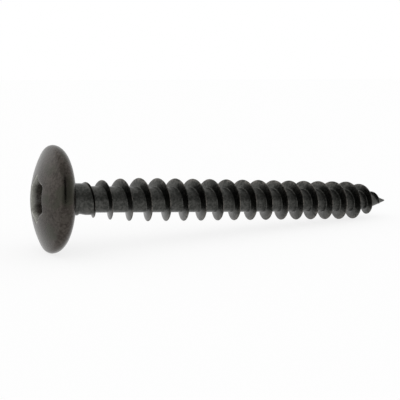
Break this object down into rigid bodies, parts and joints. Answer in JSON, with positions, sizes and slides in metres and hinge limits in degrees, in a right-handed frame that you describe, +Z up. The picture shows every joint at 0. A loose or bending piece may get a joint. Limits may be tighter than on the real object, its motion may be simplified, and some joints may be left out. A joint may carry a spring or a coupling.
{
  "type": "hinge screw",
  "caption": "Black wood screw with a wide domed head, a star recess, a short plain neck and a coarse thread rolled up to its sharp point.",
  "frame": {"origin": "on the surface that the screw lies on, under the middle of its box", "axes": "+Z up, +X along the screw as it lies, from the head towards the point"},
  "size_m": [0.0484, 0.0116, 0.0116],
  "materials": {
    "blackened_steel": "black conversion coating on steel, dull and slightly mottled, a little browner and smoother on the head"
  },
  "bodies": {
    "root": {"hinge_screw": "blackened_steel"}
  },
  "joints": []
}
